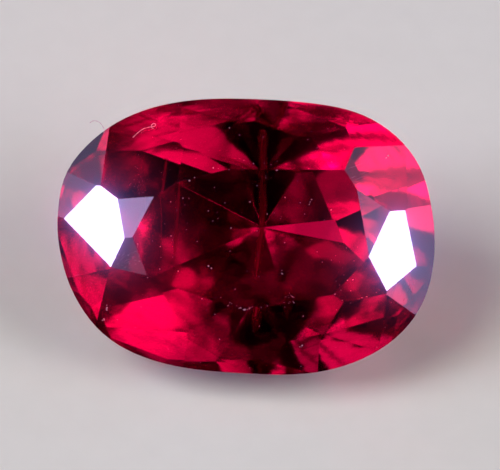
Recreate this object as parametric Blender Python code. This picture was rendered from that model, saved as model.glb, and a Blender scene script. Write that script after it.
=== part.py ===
"""Oval mixed-cut red sapphire, lying on one of its back facets.

The rough is an oval prism, and the facets are cut from it as on a faceting machine: each one is a plane,
given by the azimuth and slope at which the stone is held against the lap and by how deep it is cut.
While it is cut, the stone stands upright: X along its length, Y across it, Z out through the table, and
the origin in the middle of the girdle. It is turned onto its resting facet at the end.
"""

import math

import bmesh
import bpy
from mathutils import Matrix, Vector

MM = 0.001
NAME = "cut_stone"

# Girdle outline: an oval squarer than an ellipse.
LENGTH = 14.0 * MM
WIDTH = 10.23 * MM
SQUARENESS = 2.5
OUTLINE_POINTS = 120
# A hand-cut stone is lopsided: azimuth and half-width of each bulge in degrees, and its height in mm.
BULGES = (
    (13, 9, -0.09),
    (47, 17, 0.15),
    (165, 11, 0.16),
    (180, 8, 0.09),
    (203, 14, -0.13),
    (300, 22, 0.09),
)

# Heights above the middle of the girdle.
TABLE_HEIGHT = 1.70 * MM
GIRDLE_BOTTOM = -0.17 * MM
CULET_DEPTH = 6.5 * MM
# The culet lies a little off the middle of the outline.
CULET = (0.55 * MM, 0.34 * MM)

# Crown mains: azimuth, slope, and height in mm at which the facet meets the girdle.
CROWN_MAINS = (
    (358.5, 30.0, 0.29),
    (34.5, 33.0, 0.10),
    (95.5, 33.0, 0.06),
    (123.0, 26.5, 0.16),
    (174.0, 28.0, 0.235),
    (241.0, 30.5, 0.06),
    (270.5, 31.5, 0.16),
    (300.0, 32.0, 0.16),
)
# Upper girdle facets, two beside each main: azimuth, slope, and height in mm at the girdle.
UPPER_GIRDLE = (
    (2.5, 38.0, 0.12),
    (28.0, 39.0, 0.02),
    (59.0, 44.0, -0.02),
    (83.5, 44.0, 0.07),
    (91.5, 30.5, 0.145),
    (108.5, 34.5, 0.02),
    (139.5, 34.5, 0.05),
    (166.0, 33.5, 0.11),
    (193.0, 37.5, 0.09),
    (212.0, 39.0, 0.06),
    (246.5, 36.0, -0.055),
    (266.5, 35.0, 0.145),
    (272.5, 34.5, 0.11),
    (291.5, 36.5, 0.085),
    (315.0, 39.0, 0.085),
    (342.5, 39.5, 0.08),
)
# Star facets: azimuth, slope, and distance in mm from the axis to the edge of the table.
STARS = (
    (12.5, 20.0, 4.31),
    (91.0, 19.5, 2.72),
    (106.5, 22.5, 2.59),
    (154.5, 15.0, 3.78),
    (202.5, 12.5, 4.03),
    (252.5, 23.5, 2.71),
    (282.5, 23.0, 2.72),
    (318.0, 17.5, 3.80),
)
# Pavilion mains, which all meet at the culet: azimuth and slope.
PAVILION_MAINS = (
    (351.0, 32.5),
    (45.5, 37.5),
    (86.5, 40.0),
    (125.5, 37.5),
    (187.5, 38.5),
    (230.0, 39.5),
    (269.5, 39.5),
    (310.5, 40.0),
)
# Lower girdle facets, which all meet the lower edge of the girdle: azimuth and slope.
LOWER_GIRDLE = (
    (7.5, 52.0),
    (37.5, 51.0),
    (71.0, 63.0),
    (76.5, 58.5),
    (97.0, 62.0),
    (114.5, 55.5),
    (136.0, 61.5),
    (170.5, 62.0),
    (196.0, 53.5),
    (214.5, 57.0),
    (247.0, 62.5),
    (265.5, 65.0),
    (270.5, 64.5),
    (299.0, 52.5),
    (318.0, 57.0),
    (340.0, 60.0),
)
# The back facet that the stone lies on, by its place in the list of pavilion mains.
RESTING_MAIN = 6

STONE_COLOUR = (0.48, 0.0, 0.035, 1.0)
STONE_ROUGHNESS = 0.03
STONE_IOR = 1.768


def outline_radius(azimuth):
    """Radius of the girdle at an azimuth in degrees."""
    turn = math.radians(azimuth)
    across = abs(math.cos(turn)) / (LENGTH / 2)
    along = abs(math.sin(turn)) / (WIDTH / 2)
    radius = (across**SQUARENESS + along**SQUARENESS) ** (-1 / SQUARENESS)
    for middle, half_width, height in BULGES:
        away = (azimuth - middle + 180) % 360 - 180
        radius += height * MM * math.exp(-((away / half_width) ** 2))
    return radius


def outline_points():
    """The girdle outline as plan points, anticlockwise."""
    points = []
    for step in range(OUTLINE_POINTS):
        azimuth = step * 360 / OUTLINE_POINTS
        turn = Matrix.Rotation(math.radians(azimuth), 3, "Z")
        points.append(turn @ Vector((outline_radius(azimuth), 0, 0)))
    return points


def facing(azimuth, slope):
    """Unit vector that leans from +Z by the slope, towards the azimuth."""
    lean = math.radians(slope)
    turn = math.radians(azimuth)
    flat = math.sin(lean)
    return Vector((flat * math.cos(turn), flat * math.sin(turn), math.cos(lean)))


def girdle_touch(normal, outline, height):
    """Point of the outline that a plane with this normal reaches first, raised to a height."""
    furthest = max(outline, key=lambda point: point.x * normal.x + point.y * normal.y)
    return Vector((furthest.x, furthest.y, height))


def facet_planes(outline):
    """A point and an outward normal for each facet, from the table down to the culet."""
    planes = [(Vector((0, 0, TABLE_HEIGHT)), Vector((0, 0, 1)))]
    for azimuth, slope, height in CROWN_MAINS + UPPER_GIRDLE:
        normal = facing(azimuth, slope)
        planes.append((girdle_touch(normal, outline, height * MM), normal))
    for azimuth, slope, reach in STARS:
        turn = math.radians(azimuth)
        edge = Vector((math.cos(turn), math.sin(turn), 0)) * reach * MM
        edge.z = TABLE_HEIGHT
        planes.append((edge, facing(azimuth, slope)))
    culet = Vector((*CULET, -CULET_DEPTH))
    for azimuth, slope in PAVILION_MAINS:
        planes.append((culet, facing(azimuth, 180 - slope)))
    for azimuth, slope in LOWER_GIRDLE:
        normal = facing(azimuth, 180 - slope)
        planes.append((girdle_touch(normal, outline, GIRDLE_BOTTOM), normal))
    return planes


def oval_prism(outline):
    """The rough: the girdle outline carried past the table and the culet."""
    rough = bmesh.new()
    ring = bmesh.ops.create_circle(rough, cap_ends=True, segments=OUTLINE_POINTS, radius=1)
    for vertex, point in zip(ring["verts"], outline):
        vertex.co = Vector((point.x, point.y, -CULET_DEPTH - 1 * MM))
    raised = bmesh.ops.extrude_face_region(rough, geom=rough.faces[:])
    top = [item for item in raised["geom"] if isinstance(item, bmesh.types.BMVert)]
    bmesh.ops.translate(rough, verts=top, vec=(0, 0, CULET_DEPTH + TABLE_HEIGHT + 2 * MM))
    bmesh.ops.recalc_face_normals(rough, faces=rough.faces[:])
    return rough


def cut_facet(stone, point, normal):
    """Grinds away what lies beyond the plane, and closes the cut with one flat facet."""
    everything = stone.verts[:] + stone.edges[:] + stone.faces[:]
    bmesh.ops.bisect_plane(
        stone, geom=everything, dist=1e-8, plane_co=point, plane_no=normal, clear_outer=True
    )
    rim = [edge for edge in stone.edges if edge.is_boundary]
    bmesh.ops.edgeloop_fill(stone, edges=rim)


def lay_down(stone):
    """Turns the stone onto its resting facet, table towards -Y, and sets the origin under its middle."""
    azimuth, slope = PAVILION_MAINS[RESTING_MAIN]
    turn = Matrix.Rotation(math.radians(270 - azimuth), 4, "Z")
    tip = Matrix.Rotation(math.radians(slope), 4, "X")
    bmesh.ops.transform(stone, matrix=tip @ turn, verts=stone.verts[:])
    lowest = [min(vertex.co[axis] for vertex in stone.verts) for axis in range(3)]
    highest = [max(vertex.co[axis] for vertex in stone.verts) for axis in range(3)]
    middle = Vector(((lowest[0] + highest[0]) / 2, (lowest[1] + highest[1]) / 2, lowest[2]))
    bmesh.ops.translate(stone, verts=stone.verts[:], vec=-middle)


def sapphire_material():
    material = bpy.data.materials.new("red sapphire")
    material.use_nodes = True
    shader = material.node_tree.nodes["Principled BSDF"]
    shader.inputs["Base Color"].default_value = STONE_COLOUR
    shader.inputs["Roughness"].default_value = STONE_ROUGHNESS
    shader.inputs["Metallic"].default_value = 0.0
    shader.inputs["IOR"].default_value = STONE_IOR
    shader.inputs["Transmission Weight"].default_value = 1.0
    return material


def build():
    for old in list(bpy.data.objects):
        bpy.data.objects.remove(old, do_unlink=True)
    parts = bpy.data.collections.new("sapphire")
    bpy.context.scene.collection.children.link(parts)

    outline = outline_points()
    stone = oval_prism(outline)
    for point, normal in facet_planes(outline):
        cut_facet(stone, point, normal)
    bmesh.ops.recalc_face_normals(stone, faces=stone.faces[:])
    lay_down(stone)

    mesh = bpy.data.meshes.new(NAME)
    stone.to_mesh(mesh)
    stone.free()
    mesh.materials.append(sapphire_material())
    parts.objects.link(bpy.data.objects.new(NAME, mesh))


build()
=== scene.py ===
"""Red sapphire in an oval mixed cut, lying on a pale table top.

Makes the polished stone with its worn edges and growth bands, the dust, lint and scratches on it,
and the stage.
"""

import math
import random

import bmesh
import bpy
from bpy.props import FloatProperty, FloatVectorProperty, IntProperty, PointerProperty
from mathutils import Matrix, Vector
from mathutils.bvhtree import BVHTree


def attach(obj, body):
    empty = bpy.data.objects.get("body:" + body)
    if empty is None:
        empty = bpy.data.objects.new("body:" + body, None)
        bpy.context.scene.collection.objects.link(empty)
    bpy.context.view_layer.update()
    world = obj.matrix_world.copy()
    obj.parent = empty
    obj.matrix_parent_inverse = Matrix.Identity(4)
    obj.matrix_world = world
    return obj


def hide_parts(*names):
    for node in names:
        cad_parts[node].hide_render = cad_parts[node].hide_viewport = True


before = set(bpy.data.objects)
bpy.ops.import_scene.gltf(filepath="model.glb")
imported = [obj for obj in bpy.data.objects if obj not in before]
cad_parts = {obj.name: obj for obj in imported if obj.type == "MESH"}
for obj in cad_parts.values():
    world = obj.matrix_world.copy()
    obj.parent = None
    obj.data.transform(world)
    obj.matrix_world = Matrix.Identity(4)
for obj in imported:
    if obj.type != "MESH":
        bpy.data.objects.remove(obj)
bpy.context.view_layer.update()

bl_info = {
    "name": "Cut Sapphire",
    "version": (1, 0, 0),
    "blender": (4, 5, 0),
    "location": "3D View > Sidebar > Sapphire",
    "description": "Dresses a cut sapphire: polished facets, worn edges, dust, lint and a stage",
    "category": "Object",
}

MM = 0.001
NODE = "cut_stone"
BODY = "root"

# How the stone lies, in degrees: the table leans towards the camera, and the long side is turned a little.
TABLE_LEAN = 39.5
LONG_SIDE_TURN = 0.5
# Height of the table above the middle of the girdle.
TABLE_HEIGHT = 1.70 * MM
# The middle of the girdle, seen from the middle of the lopsided outline.
GIRDLE_MIDDLE = (0.063 * MM, 0.013 * MM)
# How far apart normals may point, in degrees: in the triangles of one facet, and in a facet once worn.
ONE_FACET_WITHIN = 0.4
FLAT_WITHIN = 0.3
# A girdle strip stands square to the table: the share of its normal that may point along the table's.
GIRDLE_WITHIN = 0.05
MERGE_WITHIN = 0.001 * MM
# A place on the crown is found by looking back at the stone from this far out.
LOOK_FROM = 20 * MM
# Heights from the middle of the girdle, between which the back's polish gives way to the crown's, and between
# which the back's waves end.
POLISH_CHANGES = (-0.25 * MM, -0.1 * MM)
WAVES_END = (-0.5 * MM, -0.25 * MM)


def linear(code):
    """An sRGB hex value as a linear colour."""
    parts = [int(code[i : i + 2], 16) / 255 for i in (0, 2, 4)]
    return tuple(c / 12.92 if c <= 0.04045 else ((c + 0.055) / 1.055) ** 2.4 for c in parts)


# The stone's own directions


def stone_space():
    """Matrix from the upright stone (X along it, Z out through the table) to where it lies."""
    turned = Matrix.Rotation(math.radians(LONG_SIDE_TURN), 4, "Z")
    tipped = Matrix.Rotation(math.radians(TABLE_LEAN), 4, "X")
    lying = tipped @ turned
    upright = lying.inverted()
    points = [upright @ vertex.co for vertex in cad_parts[NODE].data.vertices]
    lowest = [min(point[axis] for point in points) for axis in range(3)]
    highest = [max(point[axis] for point in points) for axis in range(3)]
    middle = Vector(
        (
            (lowest[0] + highest[0]) / 2 + GIRDLE_MIDDLE[0],
            (lowest[1] + highest[1]) / 2 + GIRDLE_MIDDLE[1],
            highest[2] - TABLE_HEIGHT,
        )
    )
    return lying @ Matrix.Translation(middle)


STONE = stone_space()
TABLE_NORMAL = STONE.to_3x3() @ Vector((0, 0, 1))


def around(azimuth, lean):
    """Direction that leans from the table's normal towards an azimuth, both in degrees."""
    tilt = math.radians(lean)
    turn = math.radians(azimuth)
    flat = math.sin(tilt)
    return STONE.to_3x3() @ Vector((flat * math.cos(turn), flat * math.sin(turn), math.cos(tilt)))


# Small helpers


def add(tree, kind, inputs=None, **settings):
    """Adds a node with its settings, and fills or links its inputs."""
    node = tree.nodes.new(kind)
    for name, value in settings.items():
        setattr(node, name, value)
    for key, value in (inputs or {}).items():
        socket = node.inputs[key]
        if isinstance(value, bpy.types.NodeSocket):
            tree.links.new(value, socket)
        else:
            socket.default_value = value
    return node


def clean_material(name):
    """A material with an empty tree, and its output node."""
    material = bpy.data.materials.new(name)
    material.use_nodes = True
    tree = material.node_tree
    tree.nodes.clear()
    return material, tree, add(tree, "ShaderNodeOutputMaterial")


def show(mesh, name):
    thing = bpy.data.objects.new(name, mesh)
    bpy.context.scene.collection.objects.link(thing)
    return thing


def finished(thing, name):
    """The evaluated object as a plain mesh object under a new name; the working one goes."""
    bpy.context.view_layer.update()
    evaluated = thing.evaluated_get(bpy.context.evaluated_depsgraph_get())
    mesh = bpy.data.meshes.new_from_object(evaluated)
    bpy.data.objects.remove(thing, do_unlink=True)
    mesh.name = name
    return show(mesh, name)


def smooth_path(points, steps=8):
    """A curve through all the points, without corners."""
    path = []
    ends = [points[0], *points, points[-1]]
    for before, start, stop, after in zip(ends, ends[1:], ends[2:], ends[3:]):
        for step in range(steps):
            t = step / steps
            path.append(
                0.5
                * (
                    2 * start
                    + (stop - before) * t
                    + (2 * before - 5 * start + 4 * stop - after) * t**2
                    + (3 * start - before - 3 * stop + after) * t**3
                )
            )
    path.append(points[-1])
    return path


# Finishes


def polished_corundum(finish):
    """Clear red corundum, lapped flat and polished. Crown mirror-bright, back softer, girdle left ground."""
    material, tree, output = clean_material("polished red corundum")
    place = add(tree, "ShaderNodeTexCoord").outputs["Object"]
    inside = add(tree, "ShaderNodeVectorMath", {0: place, 1: STONE.translation}, operation="SUBTRACT")
    height = add(
        tree,
        "ShaderNodeVectorMath",
        {0: inside.outputs["Vector"], 1: TABLE_NORMAL},
        operation="DOT_PRODUCT",
    ).outputs["Value"]
    polish = add(
        tree,
        "ShaderNodeMapRange",
        {
            "Value": height,
            "From Min": POLISH_CHANGES[0],
            "From Max": POLISH_CHANGES[1],
            "To Min": finish.back_roughness,
            "To Max": finish.crown_roughness,
        },
    ).outputs["Result"]
    # Lapping by hand leaves the back facets faintly wavy, so what they mirror is drawn out into soft patches.
    swell = add(tree, "ShaderNodeTexNoise", {"Vector": place, "Scale": finish.wave_scale, "Detail": 1.0})
    backward = add(
        tree,
        "ShaderNodeMapRange",
        {"Value": height, "From Min": WAVES_END[0], "From Max": WAVES_END[1], "To Min": 1.0, "To Max": 0.0},
    )
    wavy = add(
        tree,
        "ShaderNodeBump",
        {
            "Strength": backward.outputs["Result"],
            "Distance": finish.wave_height,
            "Height": swell.outputs["Fac"],
        },
    )
    shader = add(
        tree,
        "ShaderNodeBsdfPrincipled",
        {
            "Base Color": (*finish.tint, 1),
            "Normal": wavy.outputs["Normal"],
            "Roughness": polish,
            "IOR": 1.768,
            "Transmission Weight": 1.0,
        },
    )
    depth = add(
        tree,
        "ShaderNodeVolumeAbsorption",
        {"Color": (*finish.depth_colour, 1), "Density": finish.depth_density},
    )
    tree.links.new(shader.outputs["BSDF"], output.inputs["Surface"])
    tree.links.new(depth.outputs["Volume"], output.inputs["Volume"])
    return material


def mottled(name, dark, light, blots_per_mm, detail, **surface):
    """A matt material whose two shades change from blot to blot."""
    material, tree, output = clean_material(name)
    place = add(tree, "ShaderNodeTexCoord").outputs["Object"]
    blots = add(tree, "ShaderNodeTexNoise", {"Vector": place, "Scale": blots_per_mm / MM, "Detail": detail})
    shade = add(
        tree,
        "ShaderNodeMix",
        {"Factor": blots.outputs["Fac"], "A": (*dark, 1), "B": (*light, 1)},
        data_type="RGBA",
    )
    shader = add(tree, "ShaderNodeBsdfPrincipled", {"Base Color": shade.outputs["Result"], **surface})
    tree.links.new(shader.outputs["BSDF"], output.inputs["Surface"])
    return material


def house_dust(dirt):
    """Skin and textile dust: tiny pale matt flakes, each of its own shade."""
    return mottled("pale house dust", linear("8E6F86"), dirt.dust_colour, 4, 1, Roughness=0.9)


def crushed_corundum(dirt):
    """Corundum crushed along a scratch: pale and matt, where the facet around it is bright."""
    return mottled("crushed corundum", linear("6B2F50"), dirt.scratch_colour, 6, 1, Roughness=0.5)


def cotton_lint(dirt):
    """Cotton lint: a pale fibre that shines a little along its side."""
    sheen = {"Sheen Weight": 0.3}
    return mottled("cotton lint", linear("C9A3AE"), dirt.lint_colour, 2.5, 2, Roughness=0.6, **sheen)


def pale_laminate(stage):
    """Pale table top of matt laminate, with a very fine grain."""
    light = Vector(stage.floor_colour)
    return mottled("matt pale laminate", light * 0.94, light, 0.9, 4, Roughness=0.8)


# The stone


def faceted_shape():
    """The facets as whole flat faces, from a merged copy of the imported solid."""
    shape = bmesh.new()
    shape.from_mesh(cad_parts[NODE].data)
    bmesh.ops.remove_doubles(shape, verts=shape.verts[:], dist=MERGE_WITHIN)
    bmesh.ops.dissolve_limit(
        shape, angle_limit=math.radians(ONE_FACET_WITHIN), verts=shape.verts[:], edges=shape.edges[:]
    )
    shape.normal_update()
    return shape


def worn_stone(finish):
    """The stone with the fine wear along its facet edges, and dead flat between them."""
    shape = faceted_shape()
    wear = shape.edges.layers.float.new("bevel_weight_edge")
    girdle = {face for face in shape.faces if abs(face.normal.dot(TABLE_NORMAL)) < GIRDLE_WITHIN}
    for edge in shape.edges:
        edge[wear] = 0.0 if girdle.issuperset(edge.link_faces) else 1.0
    facets = [face.normal.copy() for face in shape.faces if face not in girdle]
    mesh = bpy.data.meshes.new("stone blank")
    shape.to_mesh(mesh)
    shape.free()
    blank = show(mesh, "stone blank")
    rounding = blank.modifiers.new("edge wear", "BEVEL")
    rounding.limit_method = "WEIGHT"
    rounding.width = finish.edge_wear
    rounding.segments = 2
    stone = finished(blank, "sapphire")
    same = math.cos(math.radians(FLAT_WITHIN))
    for face in stone.data.polygons:
        face.use_smooth = max(face.normal.dot(facet) for facet in facets) < same
    return stone


# Growth bands that show through the table: half-width in mm, and for each point its place and how far it lies
# below the table, all in mm.
GROWTH_BANDS = (
    (
        0.16,
        (
            (0.42, 2.50, 6.25),
            (0.50, 1.40, 7.20),
            (0.53, 0.34, 8.05),
            (0.43, -0.70, 7.20),
            (0.35, -1.60, 6.50),
        ),
    ),
    (0.12, ((-2.62, 2.00, 5.00), (-2.66, 0.60, 5.10), (-2.72, -0.90, 4.95))),
)


def growth_material(finish):
    """Corundum grown cloudy along a band: it scatters light, so it glows faintly in the dark stone."""
    material, tree, output = clean_material("cloudy growth band")
    fade = add(tree, "ShaderNodeAttribute", attribute_name="fade").outputs["Fac"]
    shader = add(
        tree,
        "ShaderNodeBsdfPrincipled",
        {"Base Color": (*finish.band_colour, 1), "Roughness": 0.8, "Specular IOR Level": 0.0, "Alpha": fade},
    )
    tree.links.new(shader.outputs["BSDF"], output.inputs["Surface"])
    return material


def growth_bands(finish):
    """The growth bands as thin sheets inside the stone, densest along their middles."""
    points = []
    fades = []
    faces = []
    for half_width, line in GROWTH_BANDS:
        path = smooth_path([Vector((x, y, TABLE_HEIGHT / MM - depth)) for x, y, depth in line], 4)
        for step, point in enumerate(path):
            for side, fade in ((-1, 0.0), (0, 1.0), (1, 0.0)):
                points.append(STONE @ (Vector((point.x + side * half_width, point.y, point.z)) * MM))
                fades.append(fade * math.sin(math.pi * (step + 1) / (len(path) + 1)) ** 0.5)
            if step:
                now = len(points) - 3
                faces += [(now - 3, now - 2, now + 1, now), (now - 2, now - 1, now + 2, now + 1)]
    mesh = bpy.data.meshes.new("growth_bands")
    mesh.from_pydata(points, [], faces)
    own = mesh.attributes.new("fade", "FLOAT", "POINT")
    own.data.foreach_set("value", fades)
    mesh.materials.append(growth_material(finish))
    return show(mesh, "growth_bands")


class SapphireFinish(bpy.types.PropertyGroup):
    tint: FloatVectorProperty(
        name="Tint", description="Colour taken on at each facet", subtype="COLOR", default=linear("FF084A")
    )
    depth_colour: FloatVectorProperty(
        name="Depth colour",
        description="Colour of light after a long way inside",
        subtype="COLOR",
        default=linear("E847CF"),
    )
    depth_density: FloatProperty(
        name="Depth density", description="How fast the crystal darkens with depth, per metre", default=160.0
    )
    crown_roughness: FloatProperty(
        name="Crown roughness",
        description="Polish of the facets that face out",
        subtype="FACTOR",
        default=0.03,
    )
    back_roughness: FloatProperty(
        name="Back roughness",
        description="Polish of the facets behind the girdle",
        subtype="FACTOR",
        default=0.10,
    )
    edge_wear: FloatProperty(
        name="Edge wear",
        description="Width of the rounding along facet edges",
        subtype="DISTANCE",
        unit="LENGTH",
        default=0.014 * MM,
    )
    band_colour: FloatVectorProperty(
        name="Band colour",
        description="Colour of the growth bands inside",
        subtype="COLOR",
        default=linear("A8507A"),
    )
    wave_scale: FloatProperty(
        name="Wave scale", description="Swells in the back facets, per metre", default=700.0
    )
    wave_height: FloatProperty(
        name="Wave height",
        description="Height of those swells",
        subtype="DISTANCE",
        unit="LENGTH",
        default=0.03 * MM,
    )


class SAPPHIRE_OT_stone(bpy.types.Operator):
    """Makes the cut stone with its worn edges and its polish"""

    bl_idname = "sapphire.stone"
    bl_label = "Cut stone"

    def execute(self, context):
        finish = context.scene.sapphire_finish
        stone = worn_stone(finish)
        stone.data.materials.clear()
        stone.data.materials.append(polished_corundum(finish))
        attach(stone, BODY)
        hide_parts(NODE)
        return {"FINISHED"}


class SAPPHIRE_OT_bands(bpy.types.Operator):
    """Makes the faint growth bands inside the stone"""

    bl_idname = "sapphire.bands"
    bl_label = "Growth bands"

    def execute(self, context):
        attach(growth_bands(context.scene.sapphire_finish), BODY)
        return {"FINISHED"}


# Dust and lint

# Specks that show singly, by size in mm: their places on the stone, in mm.
SPECKS = (
    (
        0.085,
        (
            (-1.37, 2.49), (5.06, 3.09), (5.13, 3.17),
        ),
    ),
    (
        0.070,
        (
            (-2.24, 1.98), (-2.46, 1.32), (3.07, 1.08), (-0.63, 0.27), (-2.85, -0.10), (-3.67, -1.68),
            (-1.42, -1.17), (-1.31, -1.25), (1.33, -1.36), (1.00, 2.48),
        ),
    ),
    (
        0.055,
        (
            (-2.05, 2.10), (-3.57, 1.33), (5.25, -2.01), (3.32, -2.05), (-0.82, 4.00), (0.70, 0.84),
            (1.34, 1.48), (2.28, 1.35), (2.33, 1.44), (-0.64, -2.62), (-2.91, 1.17), (-1.50, 0.88),
            (0.04, 1.27), (-1.30, 1.76),
        ),
    ),
    (
        0.045,
        (
            (2.09, 0.89), (2.25, 1.25), (0.28, 1.88), (2.81, -0.88), (-3.53, -0.31), (-3.24, -0.51),
            (-3.23, -1.35), (-2.54, -1.40), (-1.62, -2.40), (-1.12, -2.96), (3.97, -1.49), (3.77, -1.52),
            (4.33, -2.15), (4.86, -1.93), (-0.78, 2.44), (-1.18, 2.46), (0.34, 0.20), (-0.64, -0.59),
            (-0.40, -2.00), (-1.32, 0.51),
        ),
    ),
    (
        0.035,
        (
            (-2.24, 1.32), (3.14, -0.79), (-2.76, -0.89), (-0.92, -2.33), (-3.10, 0.34), (-2.29, 0.16),
            (-2.67, 0.87), (-0.89, 1.20), (0.79, 2.19), (1.91, 1.30), (3.69, -0.32), (3.54, -1.90),
            (3.60, -2.27), (-4.08, 3.70),
        ),
    ),
)
# Grit caught along worn edges: how many grains, their size in mm, and the line they follow.
GRIT_ROWS = (
    (9, 0.035, ((-0.05, 2.70), (0.22, 2.70), (0.59, 2.73), (1.00, 2.82))),
    (4, 0.025, ((-0.69, 2.93), (-0.27, 2.81), (-0.05, 2.70))),
    (9, 0.065, ((-0.23, -2.67), (-0.04, -2.75), (0.11, -2.73), (0.22, -2.71))),
    (12, 0.035, ((-0.76, -2.42), (-0.23, -2.67), (0.63, -2.62), (1.18, -2.50), (1.92, -2.29))),
    (8, 0.035, ((3.65, -2.38), (3.91, -2.35), (4.35, -2.17), (4.86, -1.95), (5.20, -1.99))),
    (8, 0.055, ((-5.16, -2.76), (-5.16, -2.95), (-5.19, -3.18), (-5.29, -3.37))),
    (3, 0.050, ((2.10, -4.04), (2.21, -4.00))),
    (4, 0.035, ((-4.12, -0.41), (-4.04, -0.67), (-4.00, -0.89))),
)
# Patches of fine dust: how many flakes, their size in mm, and the middle and radius of the patch.
DUST_PATCHES = (
    (45, 0.018, (-4.40, -1.05), 0.45),
    (16, 0.035, (1.70, -2.25), 0.22),
    (30, 0.020, (-4.10, 1.75), 0.40),
    (40, 0.018, (5.80, -1.90), 0.55),
)
# Hairline scratches in a patch: how many, its middle and radius in mm, their direction in degrees and their
# length in mm.
SCRATCHES = (
    (16, (5.85, -1.85), 0.55, 70.0, 0.55),
    (9, (-4.45, -1.05), 0.30, 40.0, 0.22),
    (5, (3.90, 2.60), 0.60, 25.0, 0.50),
)


def scattered(rng, middle, radius):
    """A random place inside a round patch, in mm."""
    turn = rng.uniform(0, math.tau)
    reach = radius * math.sqrt(rng.random())
    return middle[0] + reach * math.cos(turn), middle[1] + reach * math.sin(turn)


def along(points, share):
    """The place a share of the way along a line of places."""
    steps = [math.dist(start, stop) for start, stop in zip(points, points[1:])]
    left = share * sum(steps)
    for start, stop, step in zip(points, points[1:], steps):
        if left <= step:
            return tuple(a + (b - a) * left / step for a, b in zip(start, stop))
        left -= step
    return points[-1]


def speck_places(seed):
    """Every placed speck as x, y and size in mm."""
    rng = random.Random(seed)
    places = [(x, y, size) for size, group in SPECKS for x, y in group]
    for count, size, points in GRIT_ROWS:
        for _ in range(count):
            x, y = along(points, rng.random())
            places.append((x + rng.gauss(0, 0.015), y + rng.gauss(0, 0.015), size * rng.uniform(0.5, 1.2)))
    for count, size, middle, radius in DUST_PATCHES:
        for _ in range(count):
            places.append((*scattered(rng, middle, radius), size * rng.uniform(0.5, 1.3)))
    return places


def on_crown(surface, x, y, lift=0.0):
    """The point of the crown at a place on the stone in mm, raised by a lift. Past the rim, level with it."""
    start = STONE @ Vector((x * MM, y * MM, LOOK_FROM))
    point, normal, _, _ = surface.ray_cast(start, -TABLE_NORMAL)
    if point is None:
        return STONE @ Vector((x * MM, y * MM, lift))
    return point + normal * lift


def crown_surface():
    shape = faceted_shape()
    surface = BVHTree.FromBMesh(shape)
    shape.free()
    return surface


def grain_nodes(tree, points, scale, size, seed):
    """Puts a small turned flake on each point, and makes the flakes real."""
    flake = add(tree, "GeometryNodeMeshIcoSphere", {"Radius": size, "Subdivisions": 1})
    stretch = add(
        tree,
        "FunctionNodeRandomValue",
        {"Min": (0.5, 0.4, 0.25), "Max": (1.5, 1.0, 0.6), "Seed": seed},
        data_type="FLOAT_VECTOR",
    )
    turn = add(
        tree,
        "FunctionNodeRandomValue",
        {"Min": (-3.1, -3.1, -3.1), "Max": (3.1, 3.1, 3.1), "Seed": seed},
        data_type="FLOAT_VECTOR",
    )
    sized = add(
        tree, "ShaderNodeVectorMath", {0: stretch.outputs["Value"], "Scale": scale}, operation="SCALE"
    )
    flakes = add(
        tree,
        "GeometryNodeInstanceOnPoints",
        {
            "Points": points,
            "Instance": flake.outputs["Mesh"],
            "Rotation": turn.outputs["Value"],
            "Scale": sized.outputs["Vector"],
        },
    )
    return add(tree, "GeometryNodeRealizeInstances", {"Geometry": flakes.outputs["Instances"]})


def new_group(name, sockets):
    """A geometry tree with a geometry input and output, a material input and the named inputs."""
    tree = bpy.data.node_groups.new(name, "GeometryNodeTree")
    tree.interface.new_socket("Geometry", in_out="INPUT", socket_type="NodeSocketGeometry")
    for label, kind in sockets:
        tree.interface.new_socket(label, in_out="INPUT", socket_type=kind)
    tree.interface.new_socket("Material", in_out="INPUT", socket_type="NodeSocketMaterial")
    tree.interface.new_socket("Geometry", in_out="OUTPUT", socket_type="NodeSocketGeometry")
    return tree, add(tree, "NodeGroupInput"), add(tree, "NodeGroupOutput")


def close_group(tree, entry, leaving, geometry):
    coat = add(tree, "GeometryNodeSetMaterial", {"Geometry": geometry, "Material": entry.outputs["Material"]})
    tree.links.new(coat.outputs["Geometry"], leaving.inputs["Geometry"])


def loose_dust_group():
    """Scatters flakes over the faces that look out through the crown."""
    tree, entry, leaving = new_group(
        "loose dust",
        (
            ("Specks per Area", "NodeSocketFloat"),
            ("Speck Size", "NodeSocketFloat"),
            ("Seed", "NodeSocketInt"),
        ),
    )
    facing = add(
        tree,
        "ShaderNodeVectorMath",
        {0: add(tree, "GeometryNodeInputNormal").outputs["Normal"], 1: TABLE_NORMAL},
        operation="DOT_PRODUCT",
    )
    outward = add(
        tree, "ShaderNodeMath", {0: facing.outputs["Value"], 1: 0.5}, operation="GREATER_THAN"
    )
    points = add(
        tree,
        "GeometryNodeDistributePointsOnFaces",
        {
            "Mesh": entry.outputs["Geometry"],
            "Selection": outward.outputs["Value"],
            "Density": entry.outputs["Specks per Area"],
            "Seed": entry.outputs["Seed"],
        },
    )
    chance = add(
        tree,
        "FunctionNodeRandomValue",
        {2: 0.0, 3: 1.0, "Seed": entry.outputs["Seed"]},
        data_type="FLOAT",
    )
    rare = add(tree, "ShaderNodeMath", {0: chance.outputs[1], 1: 4.0}, operation="POWER")
    scale = add(
        tree, "ShaderNodeMapRange", {"Value": rare.outputs["Value"], "To Min": 0.35, "To Max": 1.6}
    )
    grains = grain_nodes(
        tree,
        points.outputs["Points"],
        scale.outputs["Result"],
        entry.outputs["Speck Size"],
        entry.outputs["Seed"],
    )
    close_group(tree, entry, leaving, grains.outputs["Geometry"])
    return tree


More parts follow.
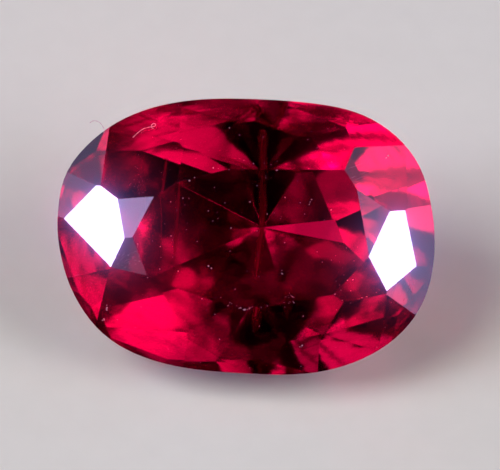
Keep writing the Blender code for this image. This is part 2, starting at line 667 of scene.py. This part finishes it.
def placed_specks_group():
    """Puts one flake on each vertex, sized by the vertex's own attribute."""
    tree, entry, leaving = new_group(
        "placed specks", (("Speck Size", "NodeSocketFloat"), ("Seed", "NodeSocketInt"))
    )
    points = add(tree, "GeometryNodeMeshToPoints", {"Mesh": entry.outputs["Geometry"]})
    own = add(tree, "GeometryNodeInputNamedAttribute", {"Name": "speck"}, data_type="FLOAT")
    grains = grain_nodes(
        tree,
        points.outputs["Points"],
        own.outputs["Attribute"],
        entry.outputs["Speck Size"],
        entry.outputs["Seed"],
    )
    close_group(tree, entry, leaving, grains.outputs["Geometry"])
    return tree


def grow(thing, tree, values, name):
    """Runs a geometry tree on an object with the given inputs, and returns the plain result."""
    modifier = thing.modifiers.new(tree.name, "NODES")
    modifier.node_group = tree
    for item in tree.interface.items_tree:
        if item.item_type == "SOCKET" and item.in_out == "INPUT" and item.name in values:
            modifier[item.identifier] = values[item.name]
    return finished(thing, name)


class SapphireDirt(bpy.types.PropertyGroup):
    dust_colour: FloatVectorProperty(
        name="Dust colour", description="Colour of the dust flakes", subtype="COLOR", default=linear("C4A0B4")
    )
    lint_colour: FloatVectorProperty(
        name="Lint colour", description="Colour of the fibres", subtype="COLOR", default=linear("D49AA8")
    )
    specks_per_mm2: FloatProperty(
        name="Specks per mm2", description="Loose dust on each square millimetre of the crown", default=2.5
    )
    speck_size: FloatProperty(
        name="Speck size",
        description="Radius of a common flake",
        subtype="DISTANCE",
        unit="LENGTH",
        default=0.013 * MM,
    )
    fibre_radius: FloatProperty(
        name="Fibre radius",
        description="Radius of a lint fibre",
        subtype="DISTANCE",
        unit="LENGTH",
        default=0.013 * MM,
    )
    scratch_colour: FloatVectorProperty(
        name="Scratch colour",
        description="Colour of the hairline scratches",
        subtype="COLOR",
        default=linear("9A6C92"),
    )
    scratch_radius: FloatProperty(
        name="Scratch radius",
        description="Half the width of a scratch, drawn as coarse as it needs to show",
        subtype="DISTANCE",
        unit="LENGTH",
        default=0.0045 * MM,
    )
    seed: IntProperty(name="Seed", description="Changes where the loose dust lies", default=7)


class SAPPHIRE_OT_dust(bpy.types.Operator):
    """Scatters loose dust over the crown and puts down the specks that show singly"""

    bl_idname = "sapphire.dust"
    bl_label = "Dust"

    def execute(self, context):
        dirt = context.scene.sapphire_dirt
        coat = house_dust(dirt)
        mesh = bpy.data.meshes.new("dust bed")
        shape = faceted_shape()
        shape.to_mesh(mesh)
        shape.free()
        loose = grow(
            show(mesh, "dust bed"),
            loose_dust_group(),
            {
                "Specks per Area": dirt.specks_per_mm2 / MM**2,
                "Speck Size": dirt.speck_size,
                "Seed": dirt.seed,
                "Material": coat,
            },
            "loose_dust",
        )
        surface = crown_surface()
        mesh = bpy.data.meshes.new("speck places")
        places = speck_places(dirt.seed)
        mesh.from_pydata([on_crown(surface, x, y, size * MM * 0.1) for x, y, size in places], [], [])
        sizes = mesh.attributes.new("speck", "FLOAT", "POINT")
        for index, (_, _, size) in enumerate(places):
            sizes.data[index].value = size * MM / (2 * dirt.speck_size)
        single = grow(
            show(mesh, "speck places"),
            placed_specks_group(),
            {"Speck Size": dirt.speck_size, "Seed": dirt.seed + 1, "Material": coat},
            "single_specks",
        )
        for piece in (loose, single):
            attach(piece, BODY)
        return {"FINISHED"}


# Lint fibres: points on the stone in mm, with the lift above the facet.
FIBRES = (
    ((-4.41, 3.51, 0.01), (-4.23, 3.68, 0.03), (-4.01, 3.82, 0.06), (-3.79, 3.88, 0.08), (-3.60, 3.91, 0.09),
     (-3.57, 4.00, 0.08), (-3.68, 4.02, 0.06), (-3.73, 3.92, 0.03), (-3.66, 3.87, 0.01)),
    ((-6.04, 4.01, 0.05), (-5.93, 4.09, 0.10), (-5.78, 4.09, 0.14), (-5.62, 3.99, 0.16), (-5.50, 3.80, 0.10),
     (-5.50, 3.65, 0.01)),
)


def fibre(path, radius, name):
    curve = bpy.data.curves.new(name, "CURVE")
    curve.dimensions = "3D"
    curve.bevel_depth = radius
    curve.bevel_resolution = 1
    curve.use_fill_caps = True
    line = curve.splines.new("POLY")
    line.points.add(len(path) - 1)
    for index, point in enumerate(path):
        line.points[index].co = (*point, 1)
        line.points[index].radius = 0.75 + 0.25 * math.sin(index * 0.9)
    thing = bpy.data.objects.new(name, curve)
    bpy.context.scene.collection.objects.link(thing)
    return finished(thing, name)


class SAPPHIRE_OT_lint(bpy.types.Operator):
    """Lays the lint fibres on the crown"""

    bl_idname = "sapphire.lint"
    bl_label = "Lint"

    def execute(self, context):
        dirt = context.scene.sapphire_dirt
        surface = crown_surface()
        coat = cotton_lint(dirt)
        for number, points in enumerate(FIBRES, 1):
            radius = dirt.fibre_radius
            path = smooth_path([on_crown(surface, x, y, lift * MM + radius) for x, y, lift in points])
            strand = fibre(path, radius, f"lint_{number}")
            strand.data.materials.clear()
            strand.data.materials.append(coat)
            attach(strand, BODY)
        return {"FINISHED"}


class SAPPHIRE_OT_scratches(bpy.types.Operator):
    """Draws the hairline scratches of wear and of the lap on the crown"""

    bl_idname = "sapphire.scratches"
    bl_label = "Scratches"

    def execute(self, context):
        dirt = context.scene.sapphire_dirt
        surface = crown_surface()
        rng = random.Random(dirt.seed + 2)
        lines = bpy.data.curves.new("scratches", "CURVE")
        lines.dimensions = "3D"
        lines.bevel_depth = dirt.scratch_radius
        lines.bevel_resolution = 0
        for count, middle, radius, direction, length in SCRATCHES:
            for _ in range(count):
                x, y = scattered(rng, middle, radius)
                turn = math.radians(direction + rng.gauss(0, 4))
                reach = length * rng.uniform(0.4, 1.2)
                steps = [reach * (step / 6 - 0.5) for step in range(7)]
                line = lines.splines.new("POLY")
                line.points.add(len(steps) - 1)
                for point, step in zip(line.points, steps):
                    place = on_crown(surface, x + step * math.cos(turn), y + step * math.sin(turn))
                    point.co = (*place, 1)
                    point.radius = 1.0 - 0.8 * abs(2 * step / reach)
        blank = bpy.data.objects.new("scratches", lines)
        context.scene.collection.objects.link(blank)
        hairlines = finished(blank, "hairlines")
        hairlines.data.materials.clear()
        hairlines.data.materials.append(crushed_corundum(dirt))
        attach(hairlines, BODY)
        return {"FINISHED"}


# Stage

# Soft round lights about the stone: azimuth, lean from the table's normal, radius and soft edge in degrees,
# and strength. The first two are the windows that the bright crown mains mirror.
SOFT_LIGHTS = (
    (174, 56, 2, 2, 13.0),
    (358.5, 60, 2, 2, 13.0),
    # In front of the stone.
    (154.5, 30, 2, 2, 2.0),
    (202.5, 25, 2, 3, 0.4),
    (128, 32, 10, 8, 0.4),
    (138, 46, 6, 6, 0.8),
    (157, 50, 14, 8, 1.3),
    (156, 65, 12, 12, 0.7),
    (12, 50, 10, 12, 1.0),
    # To its sides.
    (18, 80, 22, 20, 0.5),
    (348, 82, 10, 10, 0.9),
    (185, 104, 12, 8, 1.1),
    (212, 108, 16, 8, 1.8),
    (150, 110, 16, 20, 0.9),
    # Behind it.
    (190, 145, 12, 10, 0.5),
    (240, 145, 12, 10, 0.7),
    (328, 145, 16, 20, 1.1),
    (293, 150, 12, 12, 1.5),
)


def soft_room(stage):
    """The light around the stone, as soft round patches on a dark room."""
    world = bpy.data.worlds.new("soft room")
    bpy.context.scene.world = world
    world.use_nodes = True
    tree = world.node_tree
    tree.nodes.clear()
    direction = add(tree, "ShaderNodeTexCoord").outputs["Generated"]
    total = None
    for azimuth, lean, radius, edge, strength in SOFT_LIGHTS:
        near = add(
            tree,
            "ShaderNodeVectorMath",
            {0: direction, 1: around(azimuth, lean)},
            operation="DOT_PRODUCT",
        )
        patch = add(
            tree,
            "ShaderNodeMapRange",
            {
                "Value": near.outputs["Value"],
                "From Min": math.cos(math.radians(radius + edge)),
                "From Max": math.cos(math.radians(radius)),
                "To Min": 0.0,
                "To Max": strength * stage.room_power,
            },
            interpolation_type="SMOOTHSTEP",
        ).outputs["Result"]
        if total is not None:
            patch = add(tree, "ShaderNodeMath", {0: total, 1: patch}, operation="ADD").outputs["Value"]
        total = patch
    glow = add(tree, "ShaderNodeBackground", {"Color": (*stage.room_colour, 1), "Strength": total})
    output = add(tree, "ShaderNodeOutputWorld")
    tree.links.new(glow.outputs["Background"], output.inputs["Surface"])


# Lamps: name, where each stands as seen from the stone, and the setting that holds its power.
LAMPS = (
    ("key lamp", (-0.6, -0.2, 0.75), "key_power"),
    ("fill lamp", (0.7, -0.25, 0.6), "fill_power"),
)
LAMP_DISTANCE = 0.5
LAMP_SIZE = 0.35
FLOOR_HALF_WIDTH = 0.4
# The camera looks a little off the middle of the girdle, as the photograph is framed.
AIM = (0.086 * MM, 0.034 * MM, 0)
# How bright a facet has to be to glow, and how far the glow reaches across the picture.
GLOW_THRESHOLD = 0.75
GLOW_REACH = 0.2
# Light that turns inside the stone this many times still counts.
LIGHT_BOUNCES = 24


def lamp(name, direction, power, colour):
    """A large soft lamp for the table top and the dust; the stone's facets don't mirror it."""
    light = bpy.data.lights.new(name, "AREA")
    light.shape = "DISK"
    light.size = LAMP_SIZE
    light.energy = power
    light.color = colour
    thing = bpy.data.objects.new(name, light)
    bpy.context.scene.collection.objects.link(thing)
    thing.location = direction.normalized() * LAMP_DISTANCE
    thing.rotation_euler = direction.to_track_quat("Z", "Y").to_euler()
    thing.visible_camera = False
    thing.visible_glossy = False
    thing.visible_transmission = False
    return thing


def lens_glow(scene, stage):
    """A faint violet glow round the two brightest facets, as a lens gives."""
    scene.use_nodes = True
    tree = scene.node_tree
    tree.nodes.clear()
    picture = add(tree, "CompositorNodeRLayers").outputs["Image"]
    glow = add(
        tree,
        "CompositorNodeGlare",
        {
            "Image": picture,
            "Threshold": GLOW_THRESHOLD,
            "Strength": stage.glow_strength,
            "Tint": (*stage.room_colour, 1),
            "Size": GLOW_REACH,
        },
        glare_type="BLOOM",
    )
    add(tree, "CompositorNodeComposite", {"Image": glow.outputs["Image"]})


class SapphireStage(bpy.types.PropertyGroup):
    floor_colour: FloatVectorProperty(
        name="Floor colour", description="Colour of the table top", subtype="COLOR", default=linear("D9DFCB")
    )
    room_colour: FloatVectorProperty(
        name="Room colour",
        description="Tint of the soft lights around the stone",
        subtype="COLOR",
        default=linear("CEC0FF"),
    )
    room_power: FloatProperty(
        name="Room power", description="Strength of all the soft lights together", default=2.0
    )
    camera_distance: FloatProperty(
        name="Camera distance",
        description="From the middle of the girdle",
        subtype="DISTANCE",
        unit="LENGTH",
        default=0.5,
    )
    view_width: FloatProperty(
        name="View width",
        description="Width of the view at the stone",
        subtype="DISTANCE",
        unit="LENGTH",
        default=18.68 * MM,
    )
    camera_roll: FloatProperty(
        name="Camera roll",
        description="Turn of the camera about its own axis",
        subtype="ANGLE",
        unit="ROTATION",
        default=math.radians(2.0),
    )
    glow_strength: FloatProperty(
        name="Glow strength",
        description="Lens glow round the brightest facets",
        subtype="FACTOR",
        default=0.6,
    )
    lamp_colour: FloatVectorProperty(
        name="Lamp colour", description="Light of both lamps", subtype="COLOR", default=linear("FFF8DC")
    )
    key_power: FloatProperty(
        name="Key power", description="Power of the left lamp", subtype="POWER", default=1.2
    )
    fill_power: FloatProperty(
        name="Fill power", description="Power of the right lamp", subtype="POWER", default=0.75
    )


class SAPPHIRE_OT_stage(bpy.types.Operator):
    """Sets the table top, the lamps, the light of the room and the camera"""

    bl_idname = "sapphire.stage"
    bl_label = "Stage"

    def execute(self, context):
        stage = context.scene.sapphire_stage
        shape = bmesh.new()
        bmesh.ops.create_grid(shape, x_segments=8, y_segments=8, size=FLOOR_HALF_WIDTH)
        mesh = bpy.data.meshes.new("floor")
        shape.to_mesh(mesh)
        shape.free()
        mesh.materials.append(pale_laminate(stage))
        floor = show(mesh, "floor")
        floor.visible_glossy = False
        floor.visible_transmission = False

        soft_room(stage)
        for name, direction, setting in LAMPS:
            lamp(name, Vector(direction), getattr(stage, setting), stage.lamp_colour)

        lens = bpy.data.cameras.new("camera")
        lens.sensor_width = 36.0
        lens.lens = lens.sensor_width * stage.camera_distance / stage.view_width
        lens.clip_start = 0.01
        lens.clip_end = 20.0
        camera = bpy.data.objects.new("camera", lens)
        context.scene.collection.objects.link(camera)
        aim = STONE @ Matrix.Rotation(stage.camera_roll, 4, "Z") @ Matrix.Translation(AIM)
        camera.matrix_world = aim @ Matrix.Translation((0, 0, stage.camera_distance))
        context.scene.camera = camera

        lens_glow(context.scene, stage)
        view = context.scene.view_settings
        view.view_transform = "Standard"
        view.look = "None"
        bounces = context.scene.cycles
        bounces.max_bounces = LIGHT_BOUNCES
        bounces.transmission_bounces = LIGHT_BOUNCES
        bounces.glossy_bounces = LIGHT_BOUNCES
        bounces.blur_glossy = 0.0
        return {"FINISHED"}


class SAPPHIRE_PT_panel(bpy.types.Panel):
    """Lists the pieces and their settings"""

    bl_label = "Cut Sapphire"
    bl_space_type = "VIEW_3D"
    bl_region_type = "UI"
    bl_category = "Sapphire"

    def draw(self, context):
        scene = context.scene
        for operator in OPERATORS:
            self.layout.operator(operator.bl_idname)
        for group in (scene.sapphire_finish, scene.sapphire_dirt, scene.sapphire_stage):
            box = self.layout.box()
            for name in group.__annotations__:
                box.prop(group, name)


OPERATORS = (
    SAPPHIRE_OT_stone,
    SAPPHIRE_OT_bands,
    SAPPHIRE_OT_dust,
    SAPPHIRE_OT_lint,
    SAPPHIRE_OT_scratches,
    SAPPHIRE_OT_stage,
)
CLASSES = (SapphireFinish, SapphireDirt, SapphireStage, *OPERATORS, SAPPHIRE_PT_panel)


def register():
    for item in CLASSES:
        bpy.utils.register_class(item)
    bpy.types.Scene.sapphire_finish = PointerProperty(type=SapphireFinish)
    bpy.types.Scene.sapphire_dirt = PointerProperty(type=SapphireDirt)
    bpy.types.Scene.sapphire_stage = PointerProperty(type=SapphireStage)


def unregister():
    del bpy.types.Scene.sapphire_stage
    del bpy.types.Scene.sapphire_dirt
    del bpy.types.Scene.sapphire_finish
    for item in reversed(CLASSES):
        bpy.utils.unregister_class(item)


def main():
    register()
    bpy.ops.sapphire.stone()
    bpy.ops.sapphire.bands()
    bpy.ops.sapphire.dust()
    bpy.ops.sapphire.lint()
    bpy.ops.sapphire.scratches()
    bpy.ops.sapphire.stage()


if __name__ == "__main__":
    main()
